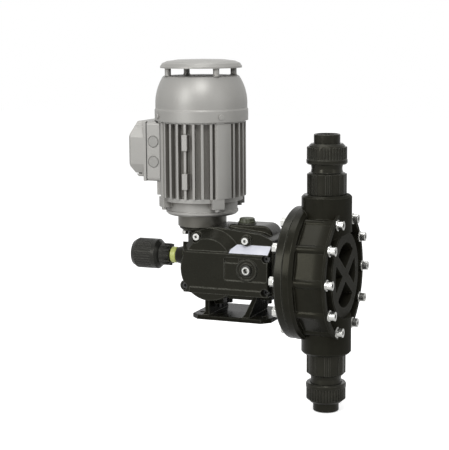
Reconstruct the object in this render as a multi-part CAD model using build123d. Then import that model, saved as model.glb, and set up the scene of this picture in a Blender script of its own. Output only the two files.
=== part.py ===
from build123d import *
import math
import os

# Diaphragm metering pump: a vertical flange motor drives a worm gear and an eccentric, which push
# a diaphragm in a plastic pump head with a ball valve below it and another above it.
# The origin is the centre of the foot's bolt pattern on the foot's underside. +X runs along the
# pump axis towards the head, -Y is the side of the bolted side cover, +Z is up. Millimetres.

# Layout of the axes
axis_height = 71.5
wheel_x = -28.8
wheel_z = 75.5
motor_x = -68.0
knob_z = 85.5
gap = 0.3
fit = 0.05

# Worm gear, in one plane with the motor axis
gear_module = 2.0
wheel_teeth = 30
wheel_width = 14.0
wheel_plane = 16.0
tooth_thinning = 0.30
worm_pitch_radius = wheel_x - motor_x - gear_module * wheel_teeth / 2
worm_length = 36.0

# Eccentric drive
stroke = 4.0
eccentricity = stroke / 2
shaft_radius = 10.0
shaft_end_radius = 8.5
lobe_radius = 13.0
lobe_width = 13.0
roller_ring_wall = 4.5

# Foot bracket: a plate and two legs that stand across the pump
foot_length = 124.0
foot_width = 96.0
foot_thickness = 6.5
foot_corner = 12.0
foot_hole_radius = 4.5
foot_spacing_x = 100.0
foot_spacing_y = 54.0
leg_wall = 6.5
leg_front = -45.0
leg_back = 30.0
leg_back_slope = 10.0
leg_flare = 5.0
left_leg_x = -38.5
left_leg_top = 28.2
right_leg_x = 24.5
right_leg_lean = 13.0
right_leg_top = 38.7
foot_screw_radius = 3.0
foot_screw_y = 17.0
foot_boss_width = 14.0
foot_boss_reach = 13.0
foot_boss_height = 8.0

# Gear casing
casing_left = -77.0
casing_right = 66.0
casing_bottom = 39.0
casing_front = -29.5
casing_back = 28.0
casing_corner = 7.0
sump_left = -12.0
sump_right = 34.0
sump_bottom = 30.0
sump_corner = 8.0
drum_radius = 46.4
drum_back = 45.0
roof_apex_x = -28.0
roof_apex_z = 136.5
roof_left_x = -62.0
roof_left_z = 126.0
roof_right_x = 46.0
roof_right_z = 129.6
roof_end_z = 121.0
shoulder_z = 108.0
chamber_radius = 41.0
chamber_back = 25.5
chamber_front_x = 48.0
chamber_low = 47.0
chamber_high = 106.0
chamber_half_width = 21.0
filler_block_left = -8.0
filler_block_end = 57.0
filler_block_round = 16.0
filler_block_top = 139.5
filler_seat_radius = 14.0
filler_seat_height = 1.5
filler_block_front = -17.0
filler_block_back = 23.0

# Worm column under the motor
column_radius = 22.0
column_bottom = 38.0
column_flange_radius = 34.5
column_flange_low = 124.0
column_top = 131.5
column_bore = 15.0
motor_screw_circle = 28.0
motor_screw_radius = 2.5

# Hub that carries the pump head
hub_radius = 35.0
hub_end = 72.0

# Side cover with its drum, cone, shelf and plug boss
gasket_thickness = 0.5
cover_flange = 6.0
cover_front = -52.0
cover_bottom = 40.5
cover_left_inset = 6.5
cover_right = 63.5
shelf_front_z = 101.5
shelf_back_z = 115.0
shelf_edge_round = 2.5
cone_x = -32.0
cone_z = 85.3
cone_front = -49.5
cone_front_radius = 36.0
cone_back_radius = 50.5
lip_height = 8.5
lip_depth = 2.0
lip_left = -60.0
panel_left = -5.0
panel_right = 61.0
panel_low = 62.0
panel_high = 96.0
panel_depth = 1.8
groove_right = 17.0
groove_low = 87.5
groove_cut = 1.6
plug_x = 30.3
plug_z = 78.5
plug_boss_radius = 16.5
plug_boss_height = 1.6
plug_boss_groove = 2.0
plug_radius = 6.5
plug_collar = 8.0
plug_socket = 4.2
cover_screw_radius = 3.0
screw_boss_radius = 8.0
screw_boss_length = 4.0
upper_screw_left = (-52.0, 122.3)
upper_screw_right = (25.0, 120.0)
lower_screws = ((-70.0, 48.8), (58.0, 47.0), (58.8, 96.0))
ear_radius = 8.0
ear_front = -46.0
label_length = 60.0
label_width = 19.0
label_thickness = 0.4

# Bearings: inner radius, outer radius, width
shaft_bearing = (shaft_end_radius, 17.5, 10.0)
worm_low_bearing = (5.0, 13.0, 8.0)
worm_high_bearing = (10.0, 18.5, 9.0)
drive_end_bearing = (7.5, 17.5, 11.0)
fan_end_bearing = (7.5, 17.5, 11.0)

# Pusher, its spring, bush and seal
yoke_half_width = 6.0
yoke_bar = 7.0
yoke_arm = 6.0
yoke_play = 2.5
pusher_radius = 12.0
pusher_end = 88.0
collar_radius = 18.0
collar_start = 4.5
collar_thickness = 4.0
spring_wire = 1.9
spring_turns = 6
bush_wall = 3.0
bush_length = 14.0
seal_radius = 17.0
seal_width = 6.0

# Stroke knob, scale ring, bush and spindle
knob_rear = -175.0
knob_body_end = -129.0
knob_nose = -112.0
knob_radius = 22.8
knob_nose_radius = 12.5
knob_flutes = 36
ring_start = -111.0
ring_end = -102.0
ring_radius = 12.2
boss_start = -101.0
boss_small_radius = 12.0
boss_large_radius = 17.0
spindle_thread_radius = 6.0
spindle_tip_radius = 3.5
spindle_tail = -165.0
knob_bush_radius = 9.0
knob_bush_flange = 11.5

# Motor
shield_radius = 54.5
shield_neck_radius = 36.7
shield_neck_top = 149.5
shield_top = 177.0
frame_top = 287.5
frame_radius = 58.0
fin_radius = 66.5
fin_count = 32
fin_start = 1.6
fin_thickness = 3.6
stator_bore = 35.0
stator_radius = 53.0
stator_low = 194.0
stator_high = 262.0
winding_height = 13.0
air_gap = 0.4
rotor_shaft_radius = 7.0
rotor_shaft_low = 104.0
rotor_shaft_high = 338.0
tie_bolt_circle = 60.5
tie_bolt_radius = 2.5
lug_width = 19.0
lug_height = 15.0
name_pad_angle = -36.5
name_pad_half = 12.0
cover_band_radius = 70.0
cover_band_low = 290.0
cover_band_high = 306.0
dome_radius = 68.8
dome_shoulder = 315.0
dome_lip = 57.0
dome_top = 356.0
dome_opening = 48.0
cover_wall = 2.0
cover_screw_z = 297.5
cover_screw_angle = 47.0
cap_radius = 61.0
cap_gap = 11.5
cap_edge = 2.5
cap_crown = 13.0
post_circle = 53.6
post_angle = 47.6
post_radius = 4.6
post_foot = 1.4
fan_high = 330.0
fan_radius = 60.0
fan_blades = 7

# Terminal box on the motor's side
box_half_width = 45.0
box_low = 200.0
box_high = 289.0
box_base_outer = -137.6
box_base_inner = -116.6
box_cover_outer = -169.0
box_gasket = 1.6
box_wall = 3.5
box_fin_angle = 47.0
box_step = 8.0
wire_window_z = (215.0, 240.0)
knockout_z = (259.0, 229.0)
knockout_x = -127.0
knockout_radius = 9.0

# Pump head
valve_x = 134.5
plate_back = 87.0
plate_front = 100.0
band_end = 115.0
band_radius = 98.0
plate_step = 1.0
plate_radius = band_radius - plate_step
head_front = 162.0
corner_step = 8.0
head_corner_radius = band_radius - corner_step
rim_step = 4.5
rim_radius = band_radius - rim_step
rim_thickness = 4.0
bolt_inset = 12.6
bolt_circle = band_radius - bolt_inset
bolt_angles = (25.0, 57.5, 90.0, 122.5, 155.0)
bolt_radius = 4.0
bolt_head_radius = 6.5
bolt_head_height = 8.0
washer_radius = 8.0
washer_thickness = 1.6
nut_radius = 6.5
nut_height = 6.5
bolt_rib_radius = 7.0
groove_inner = 63.0
groove_step = 12.0
groove_outer = band_radius - groove_step
groove_depth = 13.0
inner_ring_front = 163.5
window_radius = 47.5
window_floor = 120.0
cross_bar = 15.0
cross_angle = 34.0
diaphragm_step = 20.0
diaphragm_radius = band_radius - diaphragm_step
diaphragm_thickness = 3.0
chamber_step = 8.0
chamber_rim = diaphragm_radius - chamber_step
chamber_depth = 7.0
support_disc_radius = 40.0
support_disc_thickness = 4.0

# Valve bosses and valves, heights measured from the pump axis
boss_radius = 36.5
boss_height = 116.5
boss_chamfer = 3.0
valve_radius = 27.4
valve_height = 148.0
valve_ribs = 8
neck_radius = 23.2
thread_end = 176.0
union_start = 160.5
union_radius = 28.0
union_flange_radius = 29.6
union_flange = 8.0
union_end = 190.0
union_ribs = 40
pipe_radius = 19.0
pipe_end = 203.5
socket_radius = 16.0
socket_depth = 22.0
flow_radius = 8.0
spigot_radius = 21.0
spigot_length = 16.0
seat_radius = 15.0
seat_height = 8.0
seat_bore = 6.5
ball_radius = 9.0
ball_lift = 4.0
cage_radius = 9.8


def turned(points):
    """A solid of revolution about Z from (radius, height) points."""
    outline = Polyline(*[(r, 0, h) for r, h in points], close=True)
    return revolve(make_face(outline), Axis.Z)


def tube(inner, outer, low, high):
    """A plain ring about Z between two heights."""
    return turned([(inner, low), (outer, low), (outer, high), (inner, high)])


def rod(radius, low, high):
    """A plain cylinder about Z between two heights."""
    return Pos(0, 0, low) * Cylinder(radius, high - low, align=(Align.CENTER, Align.CENTER, Align.MIN))


def block(x, y, z):
    """A box from three (low, high) pairs."""
    size = Box(x[1] - x[0], y[1] - y[0], z[1] - z[0], align=(Align.MIN, Align.MIN, Align.MIN))
    return Pos(x[0], y[0], z[0]) * size


def along_x(shape, y=0.0, z=axis_height):
    """Lay a shape made about Z along +X."""
    return Pos(0, y, z) * Rot(0, 90, 0) * shape


def along_y(shape, x, z):
    """Lay a shape made about Z along +Y."""
    return Pos(x, 0, z) * Rot(-90, 0, 0) * shape


def on_motor(shape):
    """Move a shape made about Z onto the motor axis."""
    return Pos(motor_x, wheel_plane, 0) * shape


def on_valves(shape):
    """Move a shape made about Z onto the axis of the two valves."""
    return Pos(valve_x, 0, axis_height) * shape


def mirrored_down(shape):
    """The same shape below the pump axis."""
    return Pos(valve_x, 0, axis_height) * Rot(180, 0, 0) * shape


def prism(points, front, back):
    """Extrude an outline of (x, z) points from one y to another."""
    face = make_face(Polyline(*[(x, front, z) for x, z in points], close=True))
    return extrude(face, back - front, dir=(0, 1, 0))


def socket_screw(radius, length, head_radius, head_height):
    """A cap screw along Z: its shank ends at z = 0 under the head, with a hexagon socket."""
    body = rod(radius, -length, 0) + rod(head_radius, 0, head_height)
    socket = extrude(RegularPolygon(head_radius * 0.5, 6), head_height * 0.6)
    return body - Pos(0, 0, head_height * 0.4) * socket


def sealed_bearing(size, low):
    """A ball bearing closed by two shields, which lie a little below its faces."""
    inner, outer, width = size
    step = (outer - inner) * 0.22
    dish = width * 0.08
    high = low + width
    return turned([
        (inner + fit, low), (inner + step, low), (inner + step, low + dish),
        (outer - step, low + dish), (outer - step, low), (outer - fit, low),
        (outer - fit, high), (outer - step, high), (outer - step, high - dish),
        (inner + step, high - dish), (inner + step, high), (inner + fit, high),
    ])


def bolt_places(angles=bolt_angles):
    """The (y, z) places of the head bolts, on both sides of the valve axis."""
    places = []
    for side in (-1, 1):
        for angle in angles:
            turn = math.radians(angle)
            places.append((side * bolt_circle * math.sin(turn), axis_height + bolt_circle * math.cos(turn)))
    return places


# Foot bracket: plate with cut corners, two legs across it and their screw bosses
def foot_bracket():
    half = foot_width / 2
    body = block((-foot_length / 2, foot_length / 2), (-half, half), (0, foot_thickness))
    body = chamfer(body.edges().filter_by(Axis.Z), foot_corner)
    body = fillet(body.edges().group_by(Axis.Z)[-1], foot_thickness / 4)
    for x, lean, top in legs():
        outline = [
            (x - leg_flare, foot_thickness - 1), (x - leg_flare, foot_thickness), (x, foot_thickness + leg_flare),
            (x + lean, top), (x + lean + leg_wall, top), (x + leg_wall, foot_thickness), (x + leg_wall, foot_thickness - 1),
        ]
        body += prism(outline, leg_front, leg_back) - leg_slope(top)
    for x, y, top in foot_screw_places():
        low = top - foot_boss_height
        body += block(
            (x - foot_boss_reach, x + foot_boss_width / 2), (y - foot_boss_width / 2, y + foot_boss_width / 2), (low, top),
        )
        body -= Pos(x, y, 0) * rod(foot_screw_radius + fit, low - 1, top + 1)
    for x in (-foot_spacing_x / 2, foot_spacing_x / 2):
        for y in (-foot_spacing_y / 2, foot_spacing_y / 2):
            body -= Pos(x, y, 0) * rod(foot_hole_radius, -1, foot_thickness + 1)
    return body


def legs():
    """(x at the plate, lean at the top, top height) of the two legs."""
    return ((left_leg_x, 0.0, left_leg_top), (right_leg_x, right_leg_lean, right_leg_top))


def leg_slope(top):
    """What the sloping rear edge of a leg leaves out."""
    side = [(leg_back, foot_thickness), (leg_back + 1, foot_thickness), (leg_back + 1, top + 1), (leg_back - leg_back_slope, top + 1)]
    face = make_face(Polyline(*[(-foot_length, y, z) for y, z in side], close=True))
    return extrude(face, 2 * foot_length, dir=(1, 0, 0))


def foot_screw_places():
    """(x, y, top of the leg) of the four screws that hold the casing on its legs."""
    places = []
    for x, lean, top in legs():
        middle = x + lean + leg_wall + foot_boss_width / 2
        places += [(middle, y, top) for y in (-foot_screw_y, foot_screw_y)]
    return places


def foot_screws():
    screw = socket_screw(foot_screw_radius, foot_boss_height + 7, 5, 5.5)
    return [Pos(x, y, top - foot_boss_height) * Rot(180, 0, 0) * screw for x, y, top in foot_screw_places()]


# Main casing: gear housing, worm column, motor flange, filler block, knob boss and head hub
def casing_outline():
    """The outline that the casing and the side cover share, as (x, z) points."""
    return [
        (casing_left, casing_bottom), (casing_right, casing_bottom), (casing_right, roof_end_z),
        (roof_right_x, roof_right_z), (roof_apex_x + 8, roof_apex_z), (roof_apex_x - 6, roof_apex_z),
        (roof_left_x, roof_left_z), (casing_left + 8, shoulder_z), (casing_left, shoulder_z - 8),
    ]


def casing_slab(front, back):
    """The shared outline with its corners rounded and its drum, from one y to another."""
    slab = prism(casing_outline(), front, back)
    slab = fillet(slab.edges().filter_by(Axis.Y), casing_corner / 2)
    return slab + along_y(rod(drum_radius, front, back), wheel_x, wheel_z)


def main_casing():
    body = casing_slab(casing_front, casing_back)
    body += along_y(turned([
        (0, casing_back - 1), (drum_radius, casing_back - 1), (drum_radius, drum_back - 6),
        (drum_radius - 6, drum_back), (0, drum_back),
    ]), wheel_x, wheel_z)
    body += filler_block()
    body += sump() + foot_pads()
    body += on_motor(turned([
        (0, column_bottom), (column_radius, column_bottom), (column_radius, column_flange_low - 2),
        (column_flange_radius - 5, column_flange_low), (column_flange_radius, column_flange_low + 4),
        (column_flange_radius, column_top), (0, column_top),
    ]))
    body += along_x(turned([
        (0, boss_start), (boss_small_radius, boss_start), (boss_large_radius, casing_left - 3),
        (boss_large_radius, casing_left + 8), (0, casing_left + 8),
    ]), z=knob_z)
    body += along_x(rod(hub_radius, casing_right, hub_end))
    body -= on_motor(rod(shield_neck_radius + 1.5, column_top, filler_block_top + 1))
    return body - casing_hollows() - casing_holes()


def filler_block():
    """Raised block with a round end that carries the filler plug, and a seat for the plug."""
    low = roof_end_z - 6
    body = prism([
        (filler_block_left - 14, roof_apex_z - 6), (filler_block_left, filler_block_top),
        (filler_block_end, filler_block_top), (filler_block_end, low), (filler_block_left, low),
    ], filler_block_front, filler_block_back)
    end = body.edges().filter_by(Axis.Y).sort_by(lambda e: e.center().X + e.center().Z)[-1]
    body = fillet(end, filler_block_round)
    body = fillet(body.edges().group_by(Axis.Y)[0].filter_by(lambda e: e.center().Z > low + 1), 2.5)
    return body + Pos(filler_x(), 0, 0) * rod(filler_seat_radius, filler_block_top - 1, filler_block_top + filler_seat_height)


def sump():
    """Rounded oil sump under the casing, between the two legs."""
    low = block((sump_left, sump_right), (casing_front, casing_back), (sump_bottom, casing_bottom + 2))
    return fillet(low.edges().filter_by(Axis.Y).group_by(Axis.Z)[0], sump_corner)


def foot_pads():
    """Flat pads of the casing on the tops of the legs."""
    pads = []
    for x, lean, top in legs():
        pads.append(block(
            (x + lean, x + lean + leg_wall + foot_boss_width), (casing_front, casing_back - leg_back_slope), (top, casing_bottom + 2),
        ))
    return pads


def casing_hollows():
    """Gear chamber, worm bore and the seats of the bearings, the bush and the seal."""
    chamber = along_y(rod(chamber_radius, casing_front - 1, chamber_back), wheel_x, wheel_z)
    chamber += block(
        (wheel_x, chamber_front_x), (-chamber_half_width, chamber_half_width), (chamber_low, chamber_high),
    )
    worm_bore = on_motor(
        rod(worm_low_bearing[1], worm_floor(), worm_floor() + 20)
        + rod(column_bore, worm_low_top(), column_top + 1)
        + rod(worm_high_bearing[1], worm_high_low(), column_top + 1)
    )
    rear_seat = along_y(rod(shaft_bearing[1], chamber_back - 1, rear_bearing_low() + shaft_bearing[2]), wheel_x, wheel_z)
    bush_seat = along_x(rod(pusher_radius + bush_wall, chamber_front_x - 1, hub_end + 1))
    seal_seat = along_x(rod(seal_radius, hub_end - seal_width - 1, hub_end + 1))
    return [chamber, worm_bore, rear_seat, bush_seat, seal_seat]


def casing_holes():
    """Holes for the spindle and its bush, the filler plug and all the screws."""
    holes = [
        along_x(rod(knob_bush_radius, boss_start - 1, bush_seat_end()), z=knob_z),
        along_x(rod(spindle_tip_radius + 0.8, bush_seat_end() - 1, wheel_x - 20), z=knob_z),
        Pos(filler_x(), 0, 0) * rod(filler_thread_radius(), roof_end_z - 14, filler_block_top + filler_seat_height + 1),
    ]
    for x, z in (upper_screw_left, upper_screw_right) + lower_screws:
        holes.append(along_y(rod(cover_screw_radius + fit, casing_front - 1, casing_front + 14), x, z))
    for x, y in circle_places(motor_screw_circle, 4, 45):
        holes.append(on_motor(Pos(x, y, 0) * rod(motor_screw_radius + fit, column_flange_low - 3, column_top + 1)))
    for x, y in circle_places(motor_screw_circle, 4, 45):
        holes.append(on_motor(Pos(x, y, 0) * rod(4.6, column_flange_low - 12, column_flange_low)))
    for x, y, top in foot_screw_places():
        holes.append(Pos(x, y, 0) * rod(foot_screw_radius + fit, top - 1, top + 8.5))
    for y, z in hub_screw_places():
        holes.append(Pos(0, y, z) * Rot(0, 90, 0) * rod(2.5 + fit, hub_end - 12, hub_end + 1))
    return holes


def circle_places(radius, count, start=0.0):
    """Evenly spaced (x, y) places on a circle."""
    turns = [math.radians(start + 360 * i / count) for i in range(count)]
    return [(radius * math.cos(t), radius * math.sin(t)) for t in turns]


def hub_screw_places():
    """The (y, z) places of the screws that join the head's back plate to the casing hub."""
    return [(x, axis_height + y) for x, y in circle_places((hub_radius + seal_radius) / 2, 4, 45)]


def worm_floor():
    """Underside of the lower worm bearing."""
    return column_bottom + 8


def worm_low_top():
    return worm_floor() + worm_low_bearing[2]


def worm_high_low():
    """Underside of the upper worm bearing."""
    return wheel_z + worm_length / 2 + 11


def rear_bearing_low():
    return chamber_back + 2


def front_bearing_low():
    return cover_front + 6


def bush_seat_end():
    """Inner end of the knob bush's bore in the casing boss."""
    return casing_left - 6


def filler_x():
    return 11.0


def filler_thread_radius():
    return 9.0


# Gasket between the casing and the side cover
def cover_gasket():
    sheet = casing_slab(casing_front - gasket_thickness, casing_front)
    cut = along_y(rod(chamber_radius, casing_front - 2, casing_front + 1), wheel_x, wheel_z)
    cut += block(
        (wheel_x, chamber_front_x), (casing_front - 2, casing_front + 1), (chamber_low, chamber_high),
    )
    sheet -= cut
    for x, z in (upper_screw_left, upper_screw_right) + lower_screws:
        sheet -= along_y(rod(cover_screw_radius + fit, casing_front - 2, casing_front + 1), x, z)
    return sheet


# Side cover: flange, box with a sloping shelf, bearing drum, cone, lip, panel and plug boss
def side_cover():
    back = casing_front - gasket_thickness
    face = back - cover_flange
    body = casing_slab(face, back) + cover_box(face)
    body += along_y(turned([
        (0, cover_front), (drum_radius - 1.5, cover_front), (drum_radius, cover_front + 1.5),
        (drum_radius, face + 1), (0, face + 1),
    ]), wheel_x, wheel_z) & block((casing_left, casing_right), (cover_front - 1, back), (0, shelf_front_z - 6))
    body += cover_cone(face)
    body += block((lip_left, cover_right), (cover_front - lip_depth, face), (cover_bottom, cover_bottom + lip_height))
    body -= cover_panel()
    body += along_y(turned([
        (0, cover_front - plug_boss_height), (plug_boss_radius - 1, cover_front - plug_boss_height),
        (plug_boss_radius, cover_front - plug_boss_height + 1), (plug_boss_radius, cover_front + panel_depth + 1),
        (0, cover_front + panel_depth + 1),
    ]), plug_x, plug_z)
    for x, z in (upper_screw_left, upper_screw_right):
        body += along_y(rod(screw_boss_radius, face - screw_boss_length, face + 1), x, z)
    ear_x, ear_z = lower_screws[0]
    body += along_y(rod(ear_radius, ear_front, back), ear_x, ear_z)
    return body - cover_cuts(face, back)


def cover_box(face):
    """Box of the cover: sloping shelf on top, rounded front edges and a left side that runs back to the flange."""
    shelf = [
        (cover_front, cover_bottom), (cover_front, shelf_front_z), (face, shelf_back_z - 2), (face, cover_bottom),
    ]
    outline = make_face(Polyline(*[(casing_left, y, z) for y, z in shelf], close=True))
    box = extrude(outline, cover_right - casing_left, dir=(1, 0, 0))
    taper = [
        (casing_left - 1, cover_front - 1), (casing_left + cover_left_inset, cover_front - 1),
        (casing_left + cover_left_inset, cover_front), (casing_left, face), (casing_left - 1, face),
    ]
    side = make_face(Polyline(*[(x, y, cover_bottom - 1) for x, y in taper], close=True))
    box -= extrude(side, shelf_back_z, dir=(0, 0, 1))
    front = box.edges().filter_by(lambda e: abs(e.center().Y - cover_front) < 0.01)
    top = front.sort_by(Axis.Z)[-1]
    return fillet([top] + front.filter_by(Axis.Z), shelf_edge_round)


def cover_cone(face):
    """Blunt cone over the wheel, which runs from the flange to a flat face above the shelf."""
    cone = along_y(turned([
        (0, cone_front), (cone_front_radius, cone_front), (cone_back_radius, face + 1), (0, face + 1),
    ]), cone_x, cone_z)
    cone = cone & casing_slab(cone_front - 1, face + 1)
    for x, z in (upper_screw_left, upper_screw_right):
        cone -= along_y(rod(screw_boss_radius, cone_front - 1, face - screw_boss_length), x, z)
    return cone


def cover_panel():
    """Shallow panel sunk in the front face, with a deeper groove at its upper left."""
    low = cover_front + panel_depth
    panel = block((panel_left, panel_right), (cover_front - 1, low), (panel_low, panel_high))
    panel = fillet(panel.edges().filter_by(Axis.Y), 3)
    groove = block((panel_left, groove_right), (cover_front - 1, low + groove_cut), (groove_low, panel_high))
    return panel + fillet(groove.edges().filter_by(Axis.Y), 3)


def cover_cuts(face, back):
    """Bearing seat, inner relief, plug thread, ring round the plug and the screw holes with their recesses."""
    low = front_bearing_low()
    boss_face = cover_front - plug_boss_height
    cuts = [
        along_y(rod(shaft_bearing[1], low, low + shaft_bearing[2]), wheel_x, wheel_z),
        along_y(rod(shaft_bearing[1] - 3, low, back + 1), wheel_x, wheel_z),
        along_y(rod(chamber_radius - 6, low + shaft_bearing[2], back + 1), wheel_x, wheel_z),
        along_y(rod(plug_radius + fit, boss_face - 1, cover_front + 14), plug_x, plug_z),
        along_y(tube(plug_collar + 2.5, plug_boss_radius - 2.5, boss_face - 1, boss_face + plug_boss_groove), plug_x, plug_z),
    ]
    for x, z in (upper_screw_left, upper_screw_right):
        cuts.append(along_y(rod(cover_screw_radius + fit, cover_front, back + 1), x, z))
    for x, z in lower_screws:
        cuts.append(along_y(rod(cover_screw_radius + fit, cover_front, back + 1), x, z))
        cuts.append(along_y(rod(ear_radius - 2.4, cover_front - 6, recess_floor()), x, z))
    return cuts


def recess_floor():
    """Where the heads of the sunk cover screws sit."""
    return casing_front - gasket_thickness - cover_flange - 3


def cover_screws():
    screw = Rot(90, 0, 0) * socket_screw(cover_screw_radius, 22, 5, 6)
    raised = casing_front - gasket_thickness - cover_flange - screw_boss_length
    made = [Pos(x, raised, z) * screw for x, z in (upper_screw_left, upper_screw_right)]
    sunk = Rot(90, 0, 0) * socket_screw(cover_screw_radius, 19, 5, 6)
    return made + [Pos(x, recess_floor(), z) * sunk for x, z in lower_screws]


def drain_plug():
    """Hexagon-socket plug in the boss of the side cover, with a thin collar."""
    body = rod(plug_radius, -12, 0) + turned([
        (0, 0), (plug_collar, 0), (plug_collar, 2.2), (plug_collar - 1, 3.2), (0, 3.2),
    ])
    body -= Pos(0, 0, -4) * extrude(RegularPolygon(plug_socket, 6), 10)
    return Pos(plug_x, cover_front - plug_boss_height, plug_z) * Rot(90, 0, 0) * body


def label_plate():
    """Blank plate on the sloping shelf of the side cover."""
    depth = casing_front - gasket_thickness - cover_flange - cover_front
    slope = math.degrees(math.atan2(shelf_back_z - 2 - shelf_front_z, depth))
    run = math.hypot(shelf_back_z - 2 - shelf_front_z, depth)
    width = min(label_width, run - 1.5)
    plate = Box(label_length, width, label_thickness, align=(Align.MAX, Align.MIN, Align.MIN))
    plate = Pos(cover_right - 1, cover_front, shelf_front_z) * Rot(slope, 0, 0) * Pos(0, 1.2, 0) * plate
    x, z = upper_screw_right
    plate -= along_y(rod(screw_boss_radius + gap, cover_front, casing_front), x, z)
    face = casing_front - gasket_thickness - cover_flange
    cone = turned([(0, cone_front), (cone_front_radius + gap, cone_front), (cone_back_radius + gap, face), (0, face)])
    wide = rod(cone_front_radius + gap, cover_front, cone_front)
    return plate - along_y(cone + wide, cone_x, cone_z)


def filler_plug():
    """Oil filler plug: thread, collar and a fluted grip."""
    seat = filler_block_top + filler_seat_height
    body = rod(filler_thread_radius() - fit, seat - 12, seat)
    body += rod(12.5, seat, seat + 2)
    grip = turned([(0, seat + 2), (11.8, seat + 2), (11.2, seat + 6), (9.5, seat + 7), (0, seat + 7)])
    for x, y in circle_places(13, 10):
        grip -= Pos(x, y, 0) * rod(2.2, seat + 2, seat + 8)
    return Pos(filler_x(), 0, 0) * (body + grip)


# Gear train
def worm_shaft():
    """Worm between its two bearings, with the socket that takes the motor shaft on top."""
    root = worm_pitch_radius - 1.2 * gear_module
    low = wheel_z - worm_length / 2
    shoulder = low + worm_length
    body = rod(worm_low_bearing[0], worm_floor() + 1, low - 2)
    body += rod(root, worm_low_top() + gap, shoulder + 4)
    body += turned([
        (0, shoulder + 3), (root, shoulder + 3), (worm_high_bearing[0], shoulder + 8),
        (worm_high_bearing[0], column_top - 3), (0, column_top - 3),
    ])
    body += worm_thread(root, low)
    body = on_motor(body)
    return body - on_motor(rod(rotor_shaft_radius + fit, rotor_shaft_low, column_top + 1))


def worm_thread(root, low):
    """One right-hand thread, swept along a helix and trimmed to the worm's length."""
    pitch = math.pi * gear_module
    depth_out = gear_module
    tip = pitch / 4 - math.tan(math.radians(20)) * depth_out
    base = pitch / 4 + math.tan(math.radians(20)) * 1.2 * gear_module
    turns = int(worm_length / pitch)
    helix = Helix(pitch, pitch * turns, root)
    profile = make_face(Polyline(
        (root - 0.3, 0, -base), (worm_pitch_radius + depth_out, 0, -tip),
        (worm_pitch_radius + depth_out, 0, tip), (root - 0.3, 0, base), close=True,
    ))
    thread = sweep(profile, helix, is_frenet=True)
    start = low + (worm_length - pitch * turns) / 2
    return Pos(0, 0, start) * thread


def worm_wheel():
    """Bronze wheel with slanted slots cut between its teeth, hub and keyed bore."""
    pitch_radius = gear_module * wheel_teeth / 2
    outer = pitch_radius + 0.9 * gear_module
    depth = 2.15 * gear_module
    lead = math.degrees(math.atan(gear_module / (2 * worm_pitch_radius)))
    pitch = math.pi * gear_module
    wide = pitch / 4 + math.tan(math.radians(20)) * gear_module + tooth_thinning
    narrow = pitch / 4 - math.tan(math.radians(20)) * (depth - 0.9 * gear_module) + tooth_thinning
    half = wheel_width / 2
    body = tube(shaft_radius, outer, -half, half)
    slot_face = make_face(Polyline(
        (outer - depth, -narrow, 0), (outer + 0.5, -wide, 0), (outer + 0.5, wide, 0), (outer - depth, narrow, 0), close=True,
    ))
    slot = extrude(slot_face, half + 3, both=True)
    slot = Rot(-lead, 0, 0) * slot
    slots = [Rot(0, 0, 360 * (i + 0.5) / wheel_teeth) * slot for i in range(wheel_teeth)]
    body -= slots
    recess = tube(shaft_radius + 5, pitch_radius - 7, half - 2.5, half + 1)
    body -= recess
    return Pos(0, wheel_plane, 0) * along_y(body, wheel_x, wheel_z)


def eccentric_shaft():
    """Shaft with the eccentric lobe between its two journals; the lobe points to the rear."""
    low = front_bearing_low() + 0.5
    high = rear_bearing_low() + shaft_bearing[2] - 0.5
    body = rod(shaft_end_radius, low, high)
    body += rod(shaft_radius + 2, front_bearing_low() + shaft_bearing[2] + 0.5, -lobe_width / 2 - 1)
    body += rod(shaft_radius - fit, -lobe_width / 2 - 1, rear_bearing_low() - 0.5)
    body = along_y(body, wheel_x, wheel_z)
    lobe = along_y(rod(lobe_radius, -lobe_width / 2, lobe_width / 2), wheel_x - eccentricity, wheel_z)
    return body + lobe


def roller_ring():
    """Needle-roller ring that runs between the lobe and the pusher's pads."""
    half = lobe_width / 2 - 0.5
    ring = tube(lobe_radius + fit, lobe_radius + roller_ring_wall, -half, half)
    return along_y(ring, wheel_x - eccentricity, wheel_z)


def envelope():
    """Radius swept by the eccentric with its roller ring."""
    return lobe_radius + roller_ring_wall + eccentricity + gap


# Pusher: a frame round the eccentric, its collar and the rod that moves the diaphragm
def pusher():
    rear = wheel_x - envelope() - stroke
    front = wheel_x + envelope()
    low = wheel_z - envelope() - yoke_play
    high = wheel_z + envelope() + yoke_play
    frame = block(
        (rear - yoke_bar, front + yoke_bar), (-yoke_half_width, yoke_half_width), (low - yoke_arm, high + yoke_arm),
    )
    frame = fillet(frame.edges().filter_by(Axis.Y), 6)
    frame -= block((rear, front), (-yoke_half_width - 1, yoke_half_width + 1), (low, high))
    rear_end = front + yoke_bar
    neck = along_x(rod(yoke_half_width + 1.5, rear_end - 2, collar_start + 1))
    collar = along_x(turned([
        (0, collar_start), (collar_radius, collar_start), (collar_radius, collar_start + collar_thickness),
        (pusher_radius, collar_start + collar_thickness), (pusher_radius, pusher_end - 12),
        (pusher_radius - 4, pusher_end - 12), (pusher_radius - 4, pusher_end), (0, pusher_end),
    ]))
    return frame + neck + collar


def pusher_bush():
    ring = tube(pusher_radius + fit, pusher_radius + bush_wall - fit, 0, bush_length)
    return Pos(chamber_front_x, 0, 0) * along_x(ring)


def pusher_seal():
    """Lip seal on the pusher in the end of the hub."""
    low = hub_end - seal_width
    section = [
        (pusher_radius + fit, low), (seal_radius - fit, low), (seal_radius - fit, hub_end),
        (pusher_radius + 3, hub_end), (pusher_radius + 3, hub_end - 2), (pusher_radius + fit, hub_end - 3),
    ]
    return along_x(turned(section))


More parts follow.
